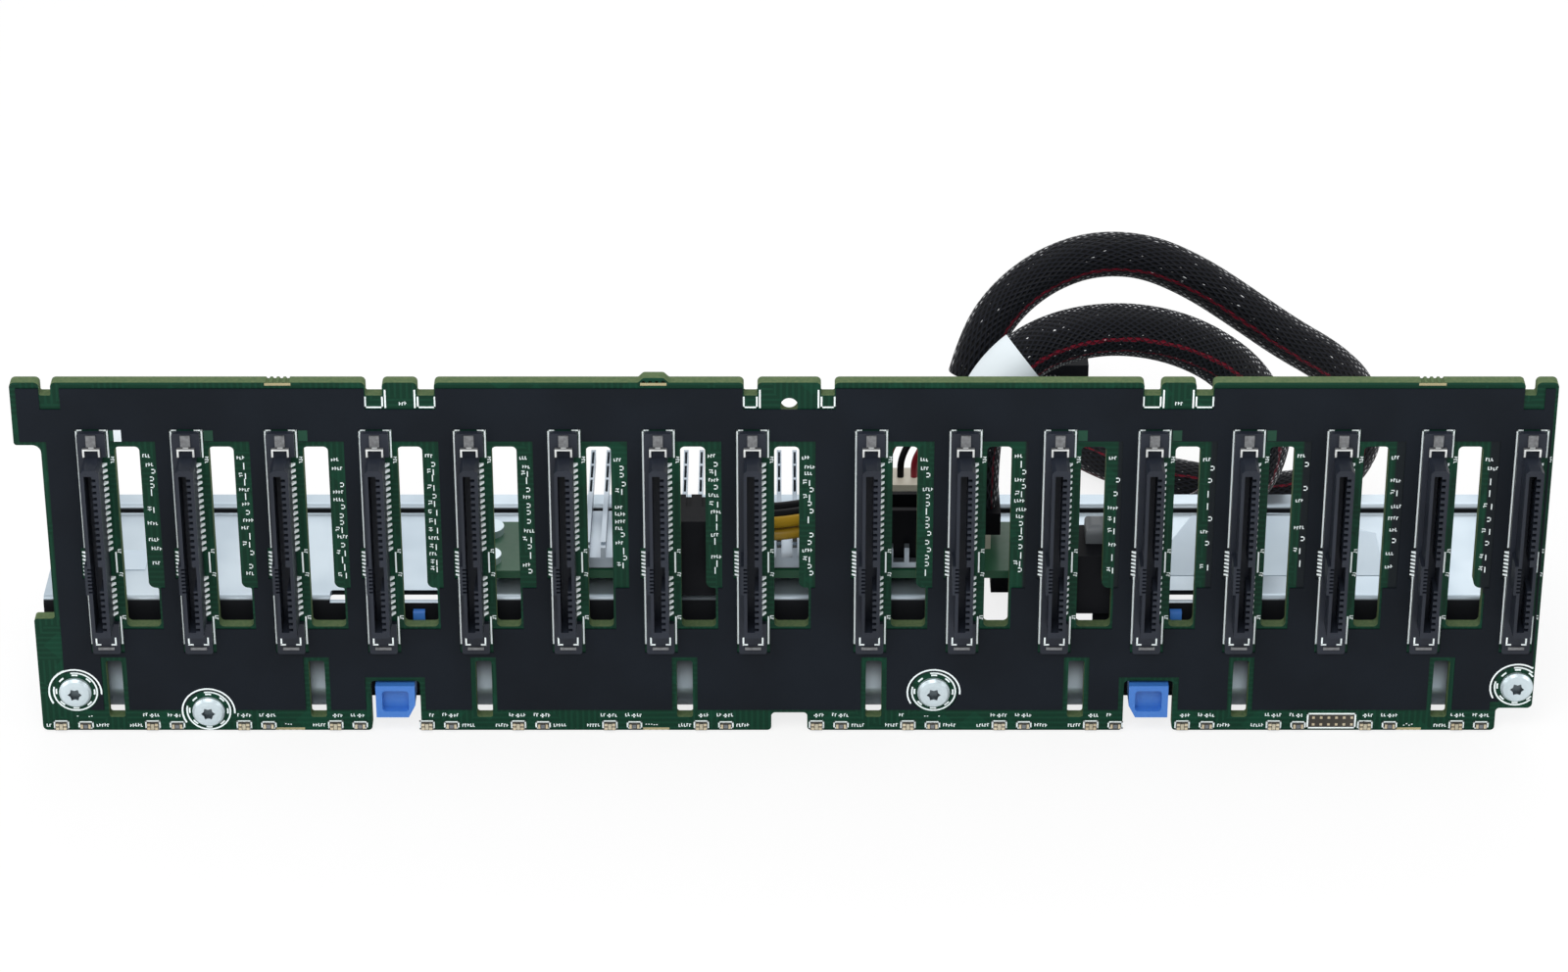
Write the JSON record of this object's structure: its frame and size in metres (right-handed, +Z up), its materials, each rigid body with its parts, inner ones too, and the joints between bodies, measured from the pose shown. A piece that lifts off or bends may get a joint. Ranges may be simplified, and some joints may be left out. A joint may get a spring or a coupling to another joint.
{
  "type": "drive backplane board",
  "caption": "Upright drive backplane board with a row of drive sockets on its front, a bent steel carrier, expander card, heatsink and sleeved cables behind, and blue release tabs.",
  "frame": {"origin": "on the ground under the middle of the assembly without its free cables", "axes": "+X along the board to its right end seen from the drive side, -Y is the side the drives plug into, +Z up"},
  "size_m": [0.2824, 0.1448, 0.0822],
  "materials": {
    "circuit_board": "green solder mask over glass laminate",
    "black_film": "matte",
    "socket_housing": "moulded, fine grain",
    "tinned_metal": "bright tin",
    "light_lens": "frosted",
    "zinc_steel": "zinc plated",
    "blue_plastic": "satin",
    "black_plastic": "satin",
    "bare_aluminium": "extruded",
    "white_plastic": "satin",
    "grey_plastic": "satin",
    "yellow_wire": "satin",
    "black_wire": "satin",
    "red_wire": "satin",
    "braided_sleeve": "braided",
    "blank_label": "matte"
  },
  "bodies": {
    "backplane": {"activity_lights": "light_lens", "backplane_pcb": "circuit_board", "black_power_wires": "black_wire", "black_signal_wires": "black_wire", "board_screws": "zinc_steel", "cable_label": "blank_label", "card_cable_plug": "black_plastic", "card_cable_socket": "white_plastic", "card_link_connector": "black_plastic", "card_power_socket": "black_plastic", "card_screws": "zinc_steel", "card_standoffs": "zinc_steel", "carrier_tray": "zinc_steel", "drive_socket_01": "socket_housing", "drive_socket_02": "socket_housing", "drive_socket_03": "socket_housing", "drive_socket_04": "socket_housing", "drive_socket_05": "socket_housing", "drive_socket_06": "socket_housing", "drive_socket_07": "socket_housing", "drive_socket_08": "socket_housing", "drive_socket_09": "socket_housing", "drive_socket_10": "socket_housing", "drive_socket_11": "socket_housing", "drive_socket_12": "socket_housing", "drive_socket_13": "socket_housing", "drive_socket_14": "socket_housing", "drive_socket_15": "socket_housing", "drive_socket_16": "socket_housing", "expander_card": "circuit_board", "expander_chip": "black_plastic", "heatsink": "bare_aluminium", "insulator_film": "black_film", "link_latch": "grey_plastic", "lower_cable_plug": "black_plastic", "power_contacts": "tinned_metal", "power_plug": "black_plastic", "power_socket": "black_plastic", "red_signal_wires": "red_wire", "screw_bosses": "zinc_steel", "second_port_contacts": "tinned_metal", "signal_contacts": "tinned_metal", "signal_header": "white_plastic", "sleeved_cable_lower": "braided_sleeve", "sleeved_cable_upper": "braided_sleeve", "socket_lock_tabs": "tinned_metal", "status_lights": "light_lens", "upper_cable_plug": "black_plastic", "yellow_power_wires": "yellow_wire"},
    "left_tab": {"release_tab_left": "blue_plastic"},
    "right_tab": {"release_tab_right": "blue_plastic"}
  },
  "joints": [
    {"name": "left_tab_press", "type": "slide", "parent": "backplane", "child": "left_tab", "axis": [0, 0, -1], "range_m": [0, 0.002], "stiffness_N_per_m": 300},
    {"name": "right_tab_press", "type": "slide", "parent": "backplane", "child": "right_tab", "axis": [0, 0, -1], "range_m": [0, 0.002], "stiffness_N_per_m": 300}
  ]
}
